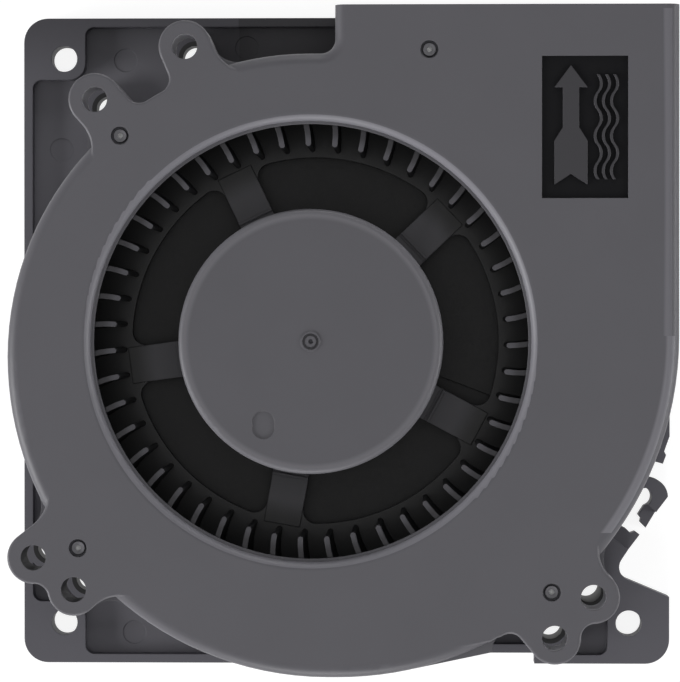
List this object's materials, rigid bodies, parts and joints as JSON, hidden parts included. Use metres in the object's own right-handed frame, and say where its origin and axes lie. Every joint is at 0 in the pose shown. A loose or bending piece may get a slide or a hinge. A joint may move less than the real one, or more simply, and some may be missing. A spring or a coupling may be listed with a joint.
{
  "type": "radial blower fan",
  "caption": "Square radial DC blower: scroll cover and base, outer-rotor motor on ball bearings, forward-curved impeller, side outlet.",
  "frame": {"origin": "centre of the square back plate, on its back face", "axes": "+Z out of the inlet along the fan's axis, +Y out of the outlet, +X towards the outlet's side of the scroll"},
  "size_m": [0.12, 0.12, 0.032],
  "materials": {
    "cover_plastic": "fine spark-eroded moulded surface",
    "base_plastic": "fine spark-eroded moulded surface",
    "impeller_plastic": "smooth moulded surface",
    "brass": "turned",
    "tinned_brass": "tinned",
    "cap_rubber": "moulded",
    "label_foil": "satin foil",
    "silicon_steel": "stamped",
    "yoke_steel": "drawn and zinc plated",
    "bonded_magnet": "pressed",
    "shaft_steel": "ground",
    "spring_steel": "bright",
    "former_plastic": "moulded",
    "copper_winding": "enamelled",
    "board_laminate": "solder mask",
    "chip_epoxy": "moulded",
    "capacitor_can": "sleeved",
    "resistor_ceramic": "glazed",
    "bearing_steel": "ground",
    "cage_plastic": "moulded"
  },
  "bodies": {
    "housing": {"base_plate": "base_plastic", "scroll_cover": "cover_plastic", "bearing_tube": "brass", "dust_cap": "cap_rubber", "back_label": "label_foil", "stator_laminations": "silicon_steel", "upper_insulator": "former_plastic", "lower_insulator": "former_plastic", "stator_coils": "copper_winding", "winding_pins": "tinned_brass", "circuit_board": "board_laminate", "driver_chip": "chip_epoxy", "hall_sensor": "chip_epoxy", "smoothing_capacitor": "capacitor_can", "chip_resistors": "resistor_ceramic", "upper_bearing_outer_ring": "bearing_steel", "lower_bearing_outer_ring": "bearing_steel", "upper_bearing_shields": "spring_steel", "lower_bearing_shields": "spring_steel"},
    "rotor": {"impeller": "impeller_plastic", "rotor_yoke": "yoke_steel", "rotor_magnet": "bonded_magnet", "motor_shaft": "shaft_steel", "shaft_bush": "brass", "preload_spring": "spring_steel", "retaining_clip": "spring_steel", "thrust_washer": "spring_steel", "upper_bearing_inner_ring": "bearing_steel", "lower_bearing_inner_ring": "bearing_steel"},
    "upper_ball_set": {"upper_bearing_balls": "bearing_steel", "upper_bearing_cage": "cage_plastic"},
    "lower_ball_set": {"lower_bearing_balls": "bearing_steel", "lower_bearing_cage": "cage_plastic"}
  },
  "joints": [
    {"name": "rotor_spin", "type": "hinge", "parent": "housing", "child": "rotor", "pos_m": [-0.0057, 0, 0.015], "axis": [0, 0, 1], "continuous": true},
    {"name": "upper_ball_orbit", "type": "hinge", "parent": "housing", "child": "upper_ball_set", "pos_m": [-0.0057, 0, 0.0205], "axis": [0, 0, 1], "continuous": true},
    {"name": "lower_ball_orbit", "type": "hinge", "parent": "housing", "child": "lower_ball_set", "pos_m": [-0.0057, 0, 0.0066], "axis": [0, 0, 1], "continuous": true}
  ],
  "couplings": [
    {"joint": "upper_ball_orbit", "follows": "rotor_spin", "ratio": 0.36364},
    {"joint": "lower_ball_orbit", "follows": "rotor_spin", "ratio": 0.36364}
  ]
}
